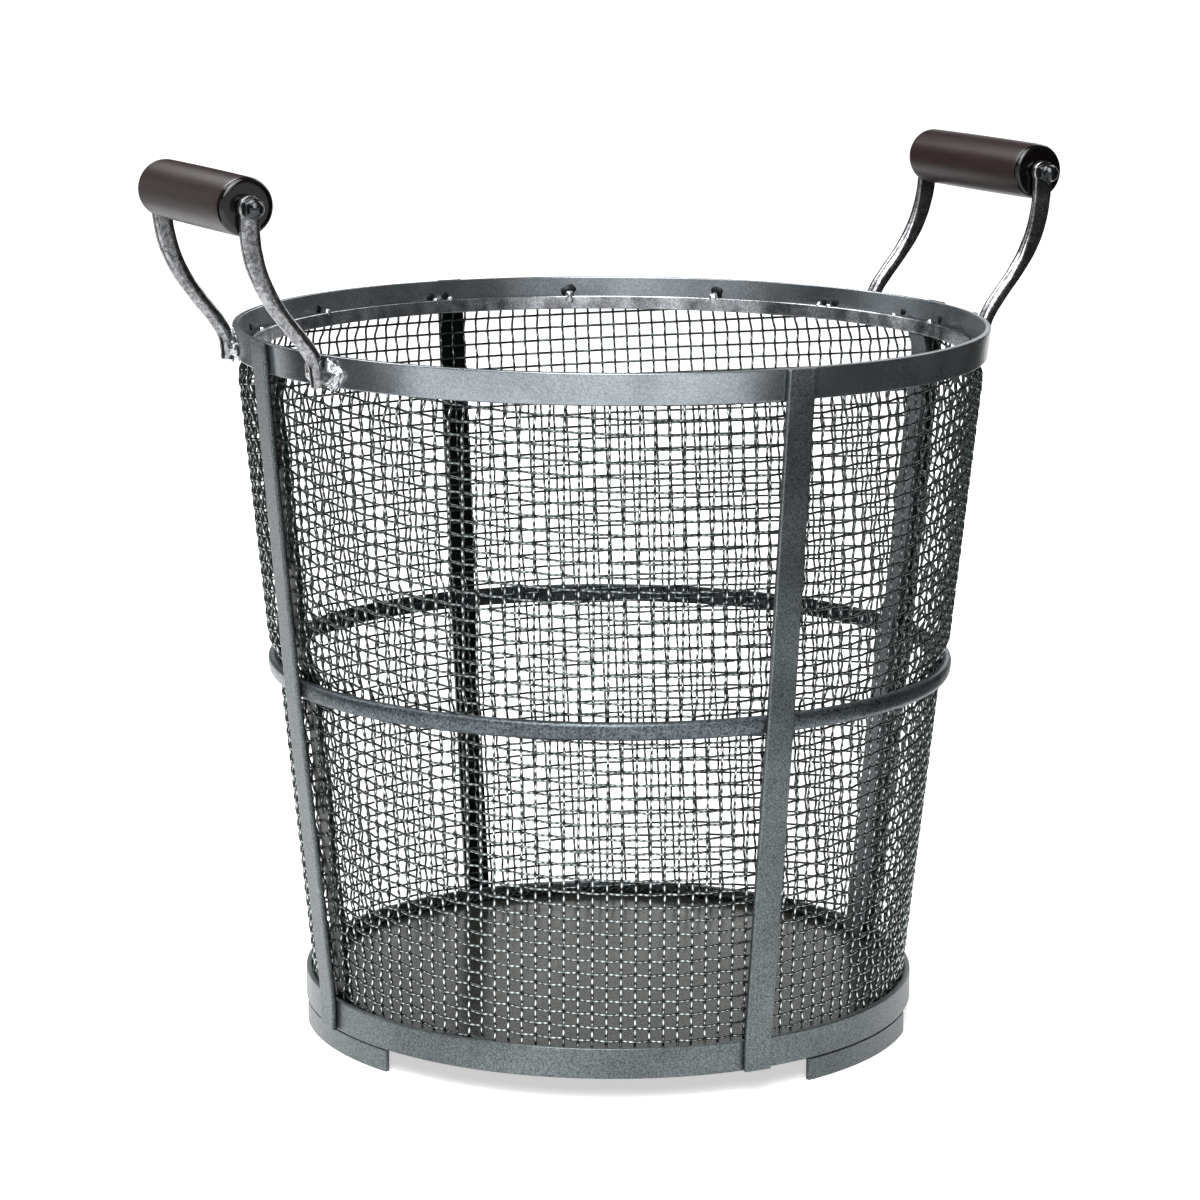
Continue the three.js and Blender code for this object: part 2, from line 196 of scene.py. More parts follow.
looks = {
    # the base hoop, the feet and the right seam, and the straps: fine cells in a satin grey
    "bar": {"cell": 0.8 * mm, "patch": 45 * mm, "dark": "#44494b", "light": "#737a7b",
            "rough": 0.4, "metal": 0.85, "depth": 0.06 * mm},
    # the middle hoop took a coarser and deeper grain; its faces that look into the bin get a little painted
    # shade
    "middle": {"cell": 1.3 * mm, "patch": 30 * mm, "dark": "#363c40", "light": "#6a7176", "inside": "#a0a0a0",
               "rough": 0.4, "metal": 0.85, "depth": 0.12 * mm},
    # the rim was sprayed fuller, so its cells flowed out to a satin skin
    "rim": {"cell": 1.0 * mm, "patch": 45 * mm, "dark": "#787e82", "light": "#91979c",
            "rough": 0.27, "metal": 0.9, "depth": 0.02 * mm},
    # the inner band is barely coated: brighter, with dark scars from the clamps
    "band": {"cell": 1.0 * mm, "patch": 11 * mm, "dark": "#95989c", "light": "#c6c9cd", "worn": "#a4a4a4",
             "rough": 0.23, "metal": 0.95, "depth": 0.03 * mm},
    # the floor plate is warmer, and smooth enough to mirror the bars that stand on it
    "plate": {"cell": 1.2 * mm, "patch": 60 * mm, "dark": "#494c46", "light": "#575a53",
              "rough": 0.22, "metal": 0.8, "depth": 0.006 * mm},
    # coat pulled thin over 1.4 mm wire, with its cells drawn a little coarser than real;
    # its brightest colour is a painted highlight for the glints and its darkest a painted shade in the dips
    "wire": {"cell": 1.1 * mm, "patch": 30 * mm, "dark": "#293030", "light": "#495151",
             "paintedHighlight": "#d0d6d6", "paintedDipShade": "#1c1c1c", "rough": 0.2, "metal": 0.85, "depth": 0.02 * mm},
    # thin and almost black, as painted shade: the left seam strip behind its strap, the hem in the corner
    # above the floor plate, and the painted shadow above each tack
    "seam": {"cell": 0.9 * mm, "patch": 30 * mm, "dark": "#121515", "light": "#262b2b",
             "rough": 0.4, "metal": 0.7, "depth": 0.03 * mm},
    # forged posts: darker, glossier, with large hammered cells
    "forged": {"cell": 2.2 * mm, "patch": 14 * mm, "dark": "#5c5d5f", "light": "#949597",
               "rough": 0.2, "metal": 0.95, "depth": 0.06 * mm},
    # weld metal under a thin coat: bright and lumpy
    "weld": {"cell": 1.6 * mm, "patch": 6 * mm, "dark": "#8a8c8e", "light": "#d4d6d8",
             "rough": 0.26, "metal": 0.95, "depth": 0.3 * mm},
    # blackened steel of the nuts and rods
    "nut": {"cell": 0.9 * mm, "patch": 5 * mm, "dark": "#232526", "light": "#3d4042",
            "rough": 0.1, "metal": 0.85, "depth": 0.03 * mm},
}
# the straps' faces that look into the bin are darkened as painted shade
looks["strap"] = dict(looks["bar"], inside="#404040")
# Painted glints and painted shade over two cells of the weave, from where the wire lies outermost: down an
# upright there are two glints on the slope that leaves the outside and one on the slope that comes back; a
# cross wire is painted bright but for its dips
looks["uprights"] = dict(looks["wire"], paintedGlintsAndShade=[
    (0.0, "#8c8c8c"), (0.14, "#ffffff"), (0.285, "#000000"), (0.425, "#ffffff"), (0.61, "#000000"),
    (0.77, "#ffffff"), (0.92, "#000000"), (1.0, "#8c8c8c")])
looks["cross"] = dict(looks["wire"], paintedGlintsAndShade=[
    (0.0, "#a0a0a0"), (0.15, "#ffffff"), (0.24, "#a0a0a0"), (0.33, "#ffffff"), (0.5, "#606060"),
    (0.66, "#ffffff"), (0.75, "#a0a0a0"), (0.84, "#ffffff"), (1.0, "#a0a0a0")])
wood = {"grain": 1.1 * mm, "grainStretch": 0.08, "dark": "#130a09", "light": "#221413",
        "poreDepth": 0.02 * mm, "rough": 0.38, "gloss": 0.15, "endRough": 0.14, "endGloss": 0.35,
        "endGrain": "#050303", "endFrom": 52.4 * mm, "endTo": 54.2 * mm}

coatNames = {
    "bar": "hammered_powder_coat_on_bar", "strap": "hammered_powder_coat_on_strap",
    "middle": "grained_powder_coat_on_half_round", "rim": "satin_powder_coat_on_rim",
    "band": "thin_powder_coat_on_band", "plate": "hammered_powder_coat_on_sheet",
    "uprights": "powder_coat_on_upright_wire", "cross": "powder_coat_on_cross_wire",
    "seam": "near_black_coat_as_painted_shade", "forged": "gunmetal_coat_on_forged_bar",
    "weld": "coated_weld_metal", "nut": "blackened_steel",
}
coats = {kind: hammeredCoat(name, looks[kind]) for kind, name in coatNames.items()}
gripLacquer = lacqueredHardwood("lacquered_turned_hardwood", wood)
print("materials made")


# Surfaces

edges = {"steps": 4, "lead": 0.6, "endRows": 4}  # of rounded bar; lead is in radii of the edge
scramble = {"axes": np.array([73856093, 19349663, 83492791]), "seed": 668265263, "mask": 0x7FFFFFFF,
            "rounds": ((13, 1274126177), (15, 668265263))}  # large primes that mix a lattice point's numbers


def evenTurn(count):
    # Angles once round, at even steps
    return np.arange(count) / count * fullTurn


def radialWays(turn):
    # Level unit vectors at angles about Z
    return np.stack([np.cos(turn), np.sin(turn), 0 * turn], -1)


def atRadius(out, radius, height):
    # Points by radius and height in the upright plane that holds the level vector out
    return np.multiply.outer(radius, out) + np.multiply.outer(height, upward)


def unit(vectors):
    return vectors / np.linalg.norm(vectors, axis=-1, keepdims=True)


def eased(share):
    # Smooth step from 0 to 1
    return share * share * (3 - 2 * share)


def smoothNoise(points, size, seed):
    # Random values from -1 to 1 on a lattice of that size, eased from corner to corner along each axis
    cell = points / size
    low = np.floor(cell).astype(np.int64)
    share = eased(cell - low)
    total = np.zeros(points.shape[:-1])
    for corner in range(8):
        step = np.array([corner & 1, corner >> 1 & 1, corner >> 2 & 1])
        key = ((low + step) * scramble["axes"]).sum(-1) + seed * scramble["seed"]
        for shift, factor in scramble["rounds"]:
            key = (key ^ key >> shift) * factor & scramble["mask"]
        total += np.where(step, share, 1 - share).prod(-1) * (key / (scramble["mask"] >> 1) - 1)
    return total


def gridQuads(rows, columns, closeRows=False):
    # Quads between neighbours on a grid stored row by row, whose columns run round and close
    row = np.arange(rows if closeRows else rows - 1)[:, None]
    column = np.arange(columns)[None]
    beside = (column + 1) % columns
    below = (row + 1) % rows * columns
    here = row * columns
    return np.stack([here + column, here + beside, below + beside, below + column], -1).reshape(-1, 4)


def closedSkin(sections):
    # Sections in a row, joined by quads, each end closed by a fan about its middle
    rows, columns = sections.shape[:2]
    points = np.concatenate([sections.reshape(-1, 3), sections[[0, -1]].mean(1)])
    column = np.arange(columns)
    beside = (column + 1) % columns
    last = (rows - 1) * columns
    startFan = np.stack([np.full(columns, rows * columns), beside, column], -1)
    endFan = np.stack([np.full(columns, rows * columns + 1), last + column, last + beside], -1)
    return points, [gridQuads(rows, columns), np.concatenate([startFan, endFan])]


def joinSkins(skins):
    # Several skins as one mesh
    points, quads, fans, count = [], [], [], 0
    for skinPoints, (skinQuads, skinFans) in skins:
        points.append(skinPoints)
        quads.append(skinQuads + count)
        fans.append(skinFans + count)
        count += len(skinPoints)
    return np.concatenate(points), [np.concatenate(quads), np.concatenate(fans)]


def addObject(name, data):
    made = bpy.data.objects.new(name, data)
    bpy.context.scene.collection.objects.link(made)
    return made


def addPiece(name, skin, material, body="frame", replaced=(), marks=None):
    points, faceSets = skin
    volume = 0.0
    for faces in faceSets:
        for k in range(1, faces.shape[1] - 1):
            a, b, c = points[faces[:, 0]], points[faces[:, k]], points[faces[:, k + 1]]
            volume += (a * np.cross(b, c)).sum()
    if volume < 0:  # turned so that faces point outwards
        faceSets = [faces[:, ::-1] for faces in faceSets]
    corners = np.concatenate([faces.ravel() for faces in faceSets]).astype(np.int32)
    sizes = np.concatenate([np.full(len(faces), faces.shape[1]) for faces in faceSets]).astype(np.int32)
    mesh = bpy.data.meshes.new(name)
    mesh.vertices.add(len(points))
    mesh.vertices.foreach_set("co", points.astype(np.float32).ravel())
    mesh.loops.add(len(corners))
    mesh.loops.foreach_set("vertex_index", corners)
    mesh.polygons.add(len(sizes))
    mesh.polygons.foreach_set("loop_start", (np.cumsum(sizes) - sizes).astype(np.int32))
    mesh.update(calc_edges=True)
    mesh.shade_smooth()
    for mark, values in (marks or {}).items():  # per point, read by the materials
        mesh.attributes.new(mark, "FLOAT", "POINT").data.foreach_set("value", values.astype(np.float32))
    mesh.materials.append(material)
    piece = addObject(name, mesh)
    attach(piece, body)
    if replaced:
        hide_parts(*replaced)


def roundedBar(width, thick, edge):
    # Outline of flat bar: four quarter circles, with a point just past each so that the flats shade flat
    turn = np.linspace(0, math.pi / 2, edges["steps"] + 1)
    lead = edges["lead"] * edge
    outline = []
    for quarter in range(4):
        start = quarter * math.pi / 2
        between = start + math.pi / 4
        centre = np.array([np.sign(math.cos(between)) * (width / 2 - edge),
                           np.sign(math.sin(between)) * (thick / 2 - edge)])
        arc = centre + edge * np.stack([np.cos(start + turn), np.sin(start + turn)], -1)
        before = arc[0] - lead * np.array([-math.sin(start), math.cos(start)])
        after = arc[-1] - lead * np.array([math.cos(start), math.sin(start)])
        outline.append(np.concatenate([[before], arc, [after]]))
    return np.concatenate(outline)


def ringSkin(outline, segments):
    # An outline of (radius, height) carried once round Z
    turn = evenTurn(segments)
    radius, height = outline[:, 0], outline[:, 1]
    points = np.stack([np.outer(np.cos(turn), radius), np.outer(np.sin(turn), radius),
                       np.broadcast_to(height, (segments, len(height)))], -1)
    return points.reshape(-1, 3), [gridQuads(segments, len(outline), closeRows=True)]


def barSkin(path, across, outward, width, thick, edge):
    # A bar's outline carried along a path, with the edges of its two ends rounded by the same radius
    outline = roundedBar(width, thick, edge)
    bend = np.linspace(0, math.pi / 2, edges["endRows"])
    setBack, inset = edge * (1 - np.cos(bend)), edge * (1 - np.sin(bend))
    centres = np.concatenate([path[0] + setBack[:, None] * unit(path[1] - path[0]), path[1:-1],
                              path[-1] + setBack[::-1, None] * unit(path[-2] - path[-1])])
    shrink = np.concatenate([inset, np.zeros(len(path) - 2), inset[::-1]])
    last = len(path) - 1
    # the path point that gives each section its directions
    nearest = np.pad(np.arange(1, last), edges["endRows"], constant_values=(0, last))
    widths, thicks = across[nearest], outward[nearest]
    u = outline[:, 0] * (1 - shrink[:, None] / (width / 2))
    v = outline[:, 1] * (1 - shrink[:, None] / (thick / 2))
    return closedSkin(centres[:, None] + u[..., None] * widths[:, None] + v[..., None] * thicks[:, None])


def blobSkin(centre, axes, halfSizes, lump, seed):
    # A ball stretched along three axes, its surface pushed in and out by noise
    down = np.linspace(lump["pole"], math.pi - lump["pole"], lump["rows"])[:, None]
    turn = evenTurn(lump["columns"])[None]
    ball = np.stack([np.sin(down) * np.cos(turn), np.sin(down) * np.sin(turn),
                     np.cos(down) + 0 * turn], -1)
    lumps = 1 + lump["depth"] * smoothNoise(ball + seed, lump["size"], seed)
    return closedSkin(centre + (ball * lumps[..., None] * halfSizes) @ axes)


# Hoops
hoop = {"segments": 256, "edge": 0.7 * mm, "bandThick": 2.5 * mm, "midSteps": 22, "midEase": 1 * mm,
        "midSquareness": 3.2}  # 2 would be a half ellipse


def slantedOutline(outside, low, high, thick):
    # Flat bar that leans with the wall, as (radius, height)
    middle = np.array([outside((low + high) / 2) - thick / 2, (low + high) / 2])
    bar = roundedBar((high - low) / math.cos(lean), thick, hoop["edge"])
    alongWall = np.array([math.sin(lean), math.cos(lean)])
    throughWall = np.array([math.cos(lean), -math.sin(lean)])
    return middle + bar[:, :1] * alongWall + bar[:, 1:] * throughWall


def makeHoops():
    rim = slantedOutline(wallOutside, rimLow.z, rimHigh.z, barThick)
    addPiece("rim_bar", ringSkin(rim, hoop["segments"]), coats["rim"], replaced=["rim_hoop"])
    bandSlack = wallOutside(bandHigh.z) - bandHigh.x
    band = slantedOutline(lambda z: wallOutside(z) - bandSlack, bandLow.z, bandHigh.z, hoop["bandThick"])
    addPiece("inner_band_bar", ringSkin(band, hoop["segments"]), coats["band"],
             replaced=["rim_inner_band"])
    base = roundedBar(baseHigh.z - baseLow.z, barThick, hoop["edge"])
    base = np.stack([baseHigh.x - barThick / 2 + base[:, 1], (baseLow.z + baseHigh.z) / 2 + base[:, 0]], -1)
    addPiece("base_bar", ringSkin(base, hoop["segments"]), coats["bar"], replaced=["base_hoop"])
    # flattened half-round: half a superellipse outside, a flat with two eased corners against the mesh
    halfWidth, midZ = (midHigh.z - midLow.z) / 2, (midHigh.z + midLow.z) / 2
    depth = midHigh.x - wallOutside(midZ) + barThick
    turn = np.linspace(-math.pi / 2, math.pi / 2, hoop["midSteps"])
    power = 2 / hoop["midSquareness"]
    height = midZ + halfWidth * np.sign(turn) * np.abs(np.sin(turn)) ** power
    arc = np.stack([wallOutside(height) - barThick + depth * np.abs(np.cos(turn)) ** power, height], -1)
    ends = height[[-1, 0]]
    flat = np.stack([wallOutside(ends) - barThick, ends + np.array([-1, 1]) * hoop["midEase"]], -1)
    skin = ringSkin(np.concatenate([arc, flat]), hoop["segments"])
    # how far each point lies out from the inner face, which sets the painted shade on faces that look into
    # the bin
    fromInside = np.hypot(skin[0][:, 0], skin[0][:, 1]) - wallOutside(skin[0][:, 2]) + barThick
    addPiece("middle_bar", skin, coats["middle"], replaced=["mid_hoop"],
             marks={"outerFace": np.clip(fromInside / (depth / 2), 0, 1)})


# Straps
strap = {"thick": 3 * mm, "edge": 0.7 * mm, "bend": 7 * mm, "bendSamples": 15, "rows": 120,
         "angles": {"strap_right": 0, "strap_back": 90, "strap_left": 180, "strap_front": 270}}


def makeStraps():
    # Inner face runs straight from hoop to hoop; averaging over the bend length rounds its three bends
    face = np.array([[strapLow.x, strapLow.z], [strapLow.x, baseHigh.z],
                     [midHigh.x + seatGap, (midLow.z + midHigh.z) / 2],
                     [wallOutside(rimLow.z) + seatGap, rimLow.z], [rimHigh.x + seatGap, rimHigh.z]])
    z = np.linspace(strapLow.z, strapHigh.z, strap["rows"])
    reach = np.linspace(-strap["bend"], strap["bend"], strap["bendSamples"])
    r = np.interp(z[:, None] + reach, face[:, 1], face[:, 0]).mean(1)
    along = unit(np.stack([np.gradient(r, z), np.ones_like(z)], -1))
    outR, outZ = along[:, 1], -along[:, 0]
    half = strap["thick"] / 2
    width = strapHigh.y - strapLow.y
    for name, degrees in strap["angles"].items():
        out = radialWays(math.radians(degrees))
        path = atRadius(out, r + half * outR, z + half * outZ)
        across = np.broadcast_to(np.cross(upward, out), path.shape)
        skin = barSkin(path, across, atRadius(out, outR, outZ), width, strap["thick"], strap["edge"])
        # how far each point lies out from the inner face, which sets the painted shade on faces that look
        # into the bin
        fromInside = skin[0] @ out - np.interp(skin[0][:, 2], z, r)
        addPiece(name + "_bar", skin, coats["strap"], replaced=[name],
                 marks={"outerFace": np.clip(fromInside / strap["thick"], 0, 1)})


# Feet
foot = {"span": math.radians(36), "rows": 24, "edge": 0.6 * mm,
        "angles": {"foot_left": 180, "foot_front": 300, "foot_back": 60}}


def makeFeet():
    # A short arc of bar standing under the base hoop
    for name, degrees in foot["angles"].items():
        low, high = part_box(name)
        turn = math.radians(degrees) + np.linspace(-0.5, 0.5, foot["rows"]) * foot["span"]
        radial = radialWays(turn)
        path = (baseHigh.x - barThick / 2) * radial + (low.z + high.z) / 2 * upward
        up = np.broadcast_to(upward, path.shape)
        skin = barSkin(path, up, radial, high.z - low.z, barThick, foot["edge"])
        addPiece(name + "_bar", skin, coats["bar"], replaced=[name])


# Floor plate
plate = {"segments": 192, "edge": 0.6 * mm, "edgeRows": 7, "rings": 16, "ringShares": (0.06, 0.98),
         "reach": 5 * mm, "wave": 0.25 * mm, "waveSize": 70 * mm, "waveSeed": 5}


def makePlate():
    # A disc: rings from the middle of its underside, round its edge and back over the top, a little uneven
    radius = plateHigh.x + plate["reach"]  # out to the base hoop, under the cut ends of the mesh
    bend = np.linspace(-math.pi / 2, math.pi / 2, plate["edgeRows"])
    spread = np.linspace(*plate["ringShares"], plate["rings"]) * (radius - plate["edge"])
    ringRadius = np.concatenate([spread, radius - plate["edge"] * (1 - np.cos(bend)), spread[::-1]])
    middle = (plateLow.z + plateHigh.z) / 2
    half = (plateHigh.z - plateLow.z) / 2
    height = np.concatenate([np.full(len(spread), middle - half), middle + half * np.sin(bend),
                             np.full(len(spread), middle + half)])
    turn = evenTurn(plate["segments"])
    sections = np.stack([np.outer(ringRadius, np.cos(turn)), np.outer(ringRadius, np.sin(turn)),
                         np.repeat(height[:, None], plate["segments"], 1)], -1)
    flat = sections * np.array([1, 1, 0])
    sections[..., 2] -= plate["wave"] * (0.5 + 0.5 * smoothNoise(flat, plate["waveSize"], plate["waveSeed"]))
    addPiece("floor_sheet", closedSkin(sections), coats["plate"], replaced=["floor_plate"])


# Woven mesh: two half sheets of crimped wire, rolled to the cone and meeting behind the side straps
weave = {
    "pitch": 7.25 * mm, "wire": 1.4 * mm, "crimp": 0.6 * mm, "sides": 5, "stepsPerCell": 4,
    "setBack": 4.8 * mm,  # middle of the weave inside the hoops' outside
    "seamMargin": 1.0,  # degrees each sheet stops short of the seam
    "low": 22 * mm, "high": 367 * mm, "cells": 62,  # cells to each side of a sheet's middle, cut to the wall
    # the sheets spring out between the middle hoop and the rim, most at one side, with a short rise and fall
    "bulge": 3.2 * mm, "bulgeMore": 0.5 * mm, "bulgeMost": math.radians(158), "bulgeEase": 12 * mm,
    "paintedGlintStrength": {"uprights": 1.0, "cross": 0.62}, "innerShare": 0.65,  # how bright the painted glints are
    "paintedGlintByHeight": ((22 * mm, 200 * mm, 367 * mm), (1.15, 0.9, 0.75)),  # painted glints brightest near the foot of the wall
    # degrees: where a sheet's middle lies, and how far its uprights and cross wires are turned there
    "sheets": {
        "front": {"middle": 270, "uprightTurn": 2.8, "crossTurn": 0.85, "across": 0.26, "up": 0.17},
        "back": {"middle": 90, "uprightTurn": -0.07, "crossTurn": -0.2, "across": 0.12, "up": 0.33},
    },
}
apexZ = baseHigh.z - (baseHigh.x - weave["setBack"]) / taper
slant = math.hypot(1, taper)


def bulge(z, angle):
    # Smooth step up from the middle hoop times smooth step down to the rim
    share = eased(np.clip(np.stack([z - midHigh.z, rimLow.z - z]) / weave["bulgeEase"], 0, 1)).prod(0)
    return share * (weave["bulge"] + weave["bulgeMore"] * np.cos(angle - weave["bulgeMost"]))


def sheetPoint(sheet, u, v, lift):
    # A flat sheet's lattice point (u, v) rolled onto the cone: distance from the apex gives the height,
    # the angle about the apex grows to the turn about Z, and lift moves the point off the surface
    upright, cross = math.radians(sheet["uprightTurn"]), math.radians(sheet["crossTurn"])
    middleSlant = ((weave["low"] + weave["high"]) / 2 - apexZ) * slant
    u, v = u + sheet["across"], v + sheet["up"]
    x = weave["pitch"] * (u * math.cos(cross) - v * math.sin(upright))
    y = weave["pitch"] * (u * math.sin(cross) + v * math.cos(upright)) + middleSlant
    turn = np.arctan2(x, y) * slant / taper
    z = np.hypot(x, y) / slant + apexZ
    angle = math.radians(sheet["middle"]) + turn
    lift = lift + bulge(z, angle)
    radius = wallOutside(z) - weave["setBack"] + lift * math.cos(lean)
    point = np.stack([radius * np.cos(angle), radius * np.sin(angle), z - lift * math.sin(lean)], -1)
    return point, np.degrees(turn)


def wireSkin(centres, inside, normal, wave):
    # Tubes along rows of centre points, kept where inside is true, with both ends of each run closed.
    # Each point keeps its place along the wave, half a wave on where it faces into the bin, and how squarely
    # it faces out or in
    wires, steps = inside.shape
    sides = weave["sides"]
    along = unit(np.gradient(centres, axis=1))
    side = unit(np.cross(along, normal))
    face = np.cross(side, along)
    turn = evenTurn(sides)
    ring = face[:, :, None] * np.cos(turn)[:, None] + side[:, :, None] * np.sin(turn)[:, None]
    points = (centres[:, :, None] + weave["wire"] / 2 * ring).reshape(-1, 3)
    number = np.arange(wires * steps).reshape(wires, steps)
    both = inside[:, :-1] & inside[:, 1:]
    here, there = number[:, :-1][both], number[:, 1:][both]
    k = np.arange(sides)
    beside = (k + 1) % sides
    quads = np.stack([here[:, None] * sides + k, here[:, None] * sides + beside,
                      there[:, None] * sides + beside, there[:, None] * sides + k], -1).reshape(-1, 4)
    before = np.pad(inside, ((0, 0), (1, 0)))[:, :-1]
    after = np.pad(inside, ((0, 0), (0, 1)))[:, 1:]
    starts, ends = number[inside & ~before & after], number[inside & before & ~after]
    fan = np.stack([np.zeros(sides - 2, int), k[1:-1], k[2:]], -1)
    caps = np.concatenate([(starts[:, None, None] * sides + fan[:, ::-1]).reshape(-1, 3),
                           (ends[:, None, None] * sides + fan).reshape(-1, 3)])
    used = np.unique(np.concatenate([quads.ravel(), caps.ravel()]))
    renumber = np.zeros(len(points), int)
    renumber[used] = np.arange(len(used))
    # where the painted glints fall along the wire and how strongly each face takes them
    faceOut = np.cos(turn)
    place = wave[:, :, None] + np.where(faceOut > 0, 0, 0.5)
    facing = np.broadcast_to(np.maximum(faceOut, -weave["innerShare"] * faceOut), place.shape)
    marks = {"wavePlace": place.ravel()[used], "waveFacing": facing.ravel()[used]}
    return (points[used], [renumber[quads], renumber[caps]]), marks


def makeWeave():
    # Plain weave: each wire rises and falls as a cosine of its place on the lattice, the uprights up where
    # the cross wires are down, and neighbours in turn
    cells, fine = weave["cells"], weave["stepsPerCell"]
    replaced = {"front": [f"mesh_panel_{k:02d}" for k in range(7, 13)],
                "back": [f"mesh_panel_{k:02d}" for k in range(1, 7)]}
    for name, sheet in weave["sheets"].items():
        lines = np.arange(-cells, cells + 1)[:, None]
        steps = np.arange(-cells * fine, cells * fine + 1)[None] / fine
        flip = np.cos(math.pi * lines)
        for kind in ("uprights", "cross"):
            wave = weave["crimp"] * flip * np.cos(math.pi * steps)
            u, v = (lines, steps) if kind == "uprights" else (steps, lines)
            u, v = np.broadcast_arrays(u, v)
            lift = wave if kind == "uprights" else -wave
            centres, turn = sheetPoint(sheet, u, v, lift)
            raised, _ = sheetPoint(sheet, u, v, lift + mm)
            inside = (np.abs(turn) < 90 - weave["seamMargin"])
            inside &= (centres[..., 2] > weave["low"]) & (centres[..., 2] < weave["high"])
            # cells down an upright or along a cross wire from where it is outermost, over the two of a wave
            start = lines if kind == "uprights" else lines + 1
            skin, marks = wireSkin(centres, inside, (raised - centres) / mm, (start - steps) / 2)
            # painted glints made stronger or weaker by kind of wire and by height
            marks["waveFacing"] *= weave["paintedGlintStrength"][kind] * np.interp(skin[0][:, 2], *weave["paintedGlintByHeight"])
            nodes = replaced[name] if kind == "uprights" else ["mesh_cross_wires"] if name == "front" else []
            addPiece(f"weave_{kind}_{name}", skin, coats[kind], replaced=nodes, marks=marks)
            print("weave", kind, name, len(skin[1][0]) * 2 + len(skin[1][1]), "triangles")


# Hem of the mesh: two wires twisted round each other, standing on the floor plate
hem = {"wire": 1.7 * mm, "twist": 1.1 * mm, "inside": 7.4 * mm, "turns": 110, "stepsPerTurn": 12, "sides": 6}


def makeHem():
    # Two helices wound round one ring, half a turn apart, each a round tube
    steps = np.arange(hem["turns"] * hem["stepsPerTurn"])
    radial = radialWays(evenTurn(len(steps)))
    high = plateHigh.z + hem["twist"] + hem["wire"] / 2
    ring = (wallOutside(high) - hem["inside"]) * radial + high * upward
    skins = []
    for start in (0, math.pi):
        wind = steps / hem["stepsPerTurn"] * fullTurn + start
        centres = ring + hem["twist"] * (np.cos(wind)[:, None] * radial + np.sin(wind)[:, None] * upward)
        around = evenTurn(hem["sides"])
        tube = radial[:, None] * np.cos(around)[:, None] + upward * np.sin(around)[:, None]
        points = centres[:, None] + hem["wire"] / 2 * tube
        skins.append((points.reshape(-1, 3), [gridQuads(len(steps), hem["sides"], closeRows=True),
                                              np.zeros((0, 3), int)]))
    # its near-black coat is painted shade for the dark corner between the floor plate and the base hoop
    addPiece("weave_hem", joinSkins(skins), coats["seam"])


# Seam strips behind the two seams; the left one is coated near black as painted shade behind the left strap
seam = {"thick": 3.2 * mm, "edge": 0.5 * mm, "width": 15 * mm, "rows": 60,
        # the left strip takes the near-black coat as painted shade; the right one takes the bar coat
        "nodes": {"seam_strip": (0, coats["bar"]), "seam_strip_left": (180, coats["seam"])}}


def makeSeams():
    # Flat strip leaning with the wall, its inner face where the frame has it but for the mesh's bulge
    low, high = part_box("seam_strip")
    z = np.linspace(low.z, high.z, seam["rows"])
    for name, (degrees, coat) in seam["nodes"].items():
        angle = math.radians(degrees)
        out = radialWays(angle)
        r = low.x + taper * (z - low.z) + seam["thick"] / 2 + bulge(z, angle)
        path = atRadius(out, r, z)
        across = np.broadcast_to(np.cross(upward, out), path.shape)
        outward = np.broadcast_to(atRadius(out, math.cos(lean), -math.sin(lean)), path.shape)
        skin = barSkin(path, across, outward, seam["width"], seam["thick"], seam["edge"])
        addPiece(name + "_bar", skin, coat, replaced=[name])


# Handle posts: forged S from the rim up to the eye
post = {
    "radius": 4.0 * mm, "paddleHalfWidth": 5.2 * mm, "paddleHalfThick": 2.0 * mm,
    "eyeRadius": 6.2 * mm, "eyeHalfThick": 2.2 * mm, "straightFoot": 8 * mm, "straightTop": 7.5 * mm,
    "lowerBend": 18 * mm, "upperBend": 43 * mm, "flattenFrom": 0.45, "sides": 32,
    "footRows": 8, "curveRows": 60, "eyeRows": 26, "eyeSwing": (-70, 86),  # degrees up the round of the eye
    "eyeLead": 0.3 * mm,  # from the end of the straight top to the eye's first row
    "squareness": 2.6,  # what the flat part's exponent has over the 2 of an ellipse
    "hammer": 0.12 * mm, "hammerSize": 4.2 * mm, "pit": 0.04 * mm, "pitSize": 1.8 * mm, "pitSeed": 50,
    # which way along X and along Y each post stands
    "corners": {"right_front": (1, -1), "right_back": (1, 1), "left_front": (-1, -1), "left_back": (-1, 1)},
}


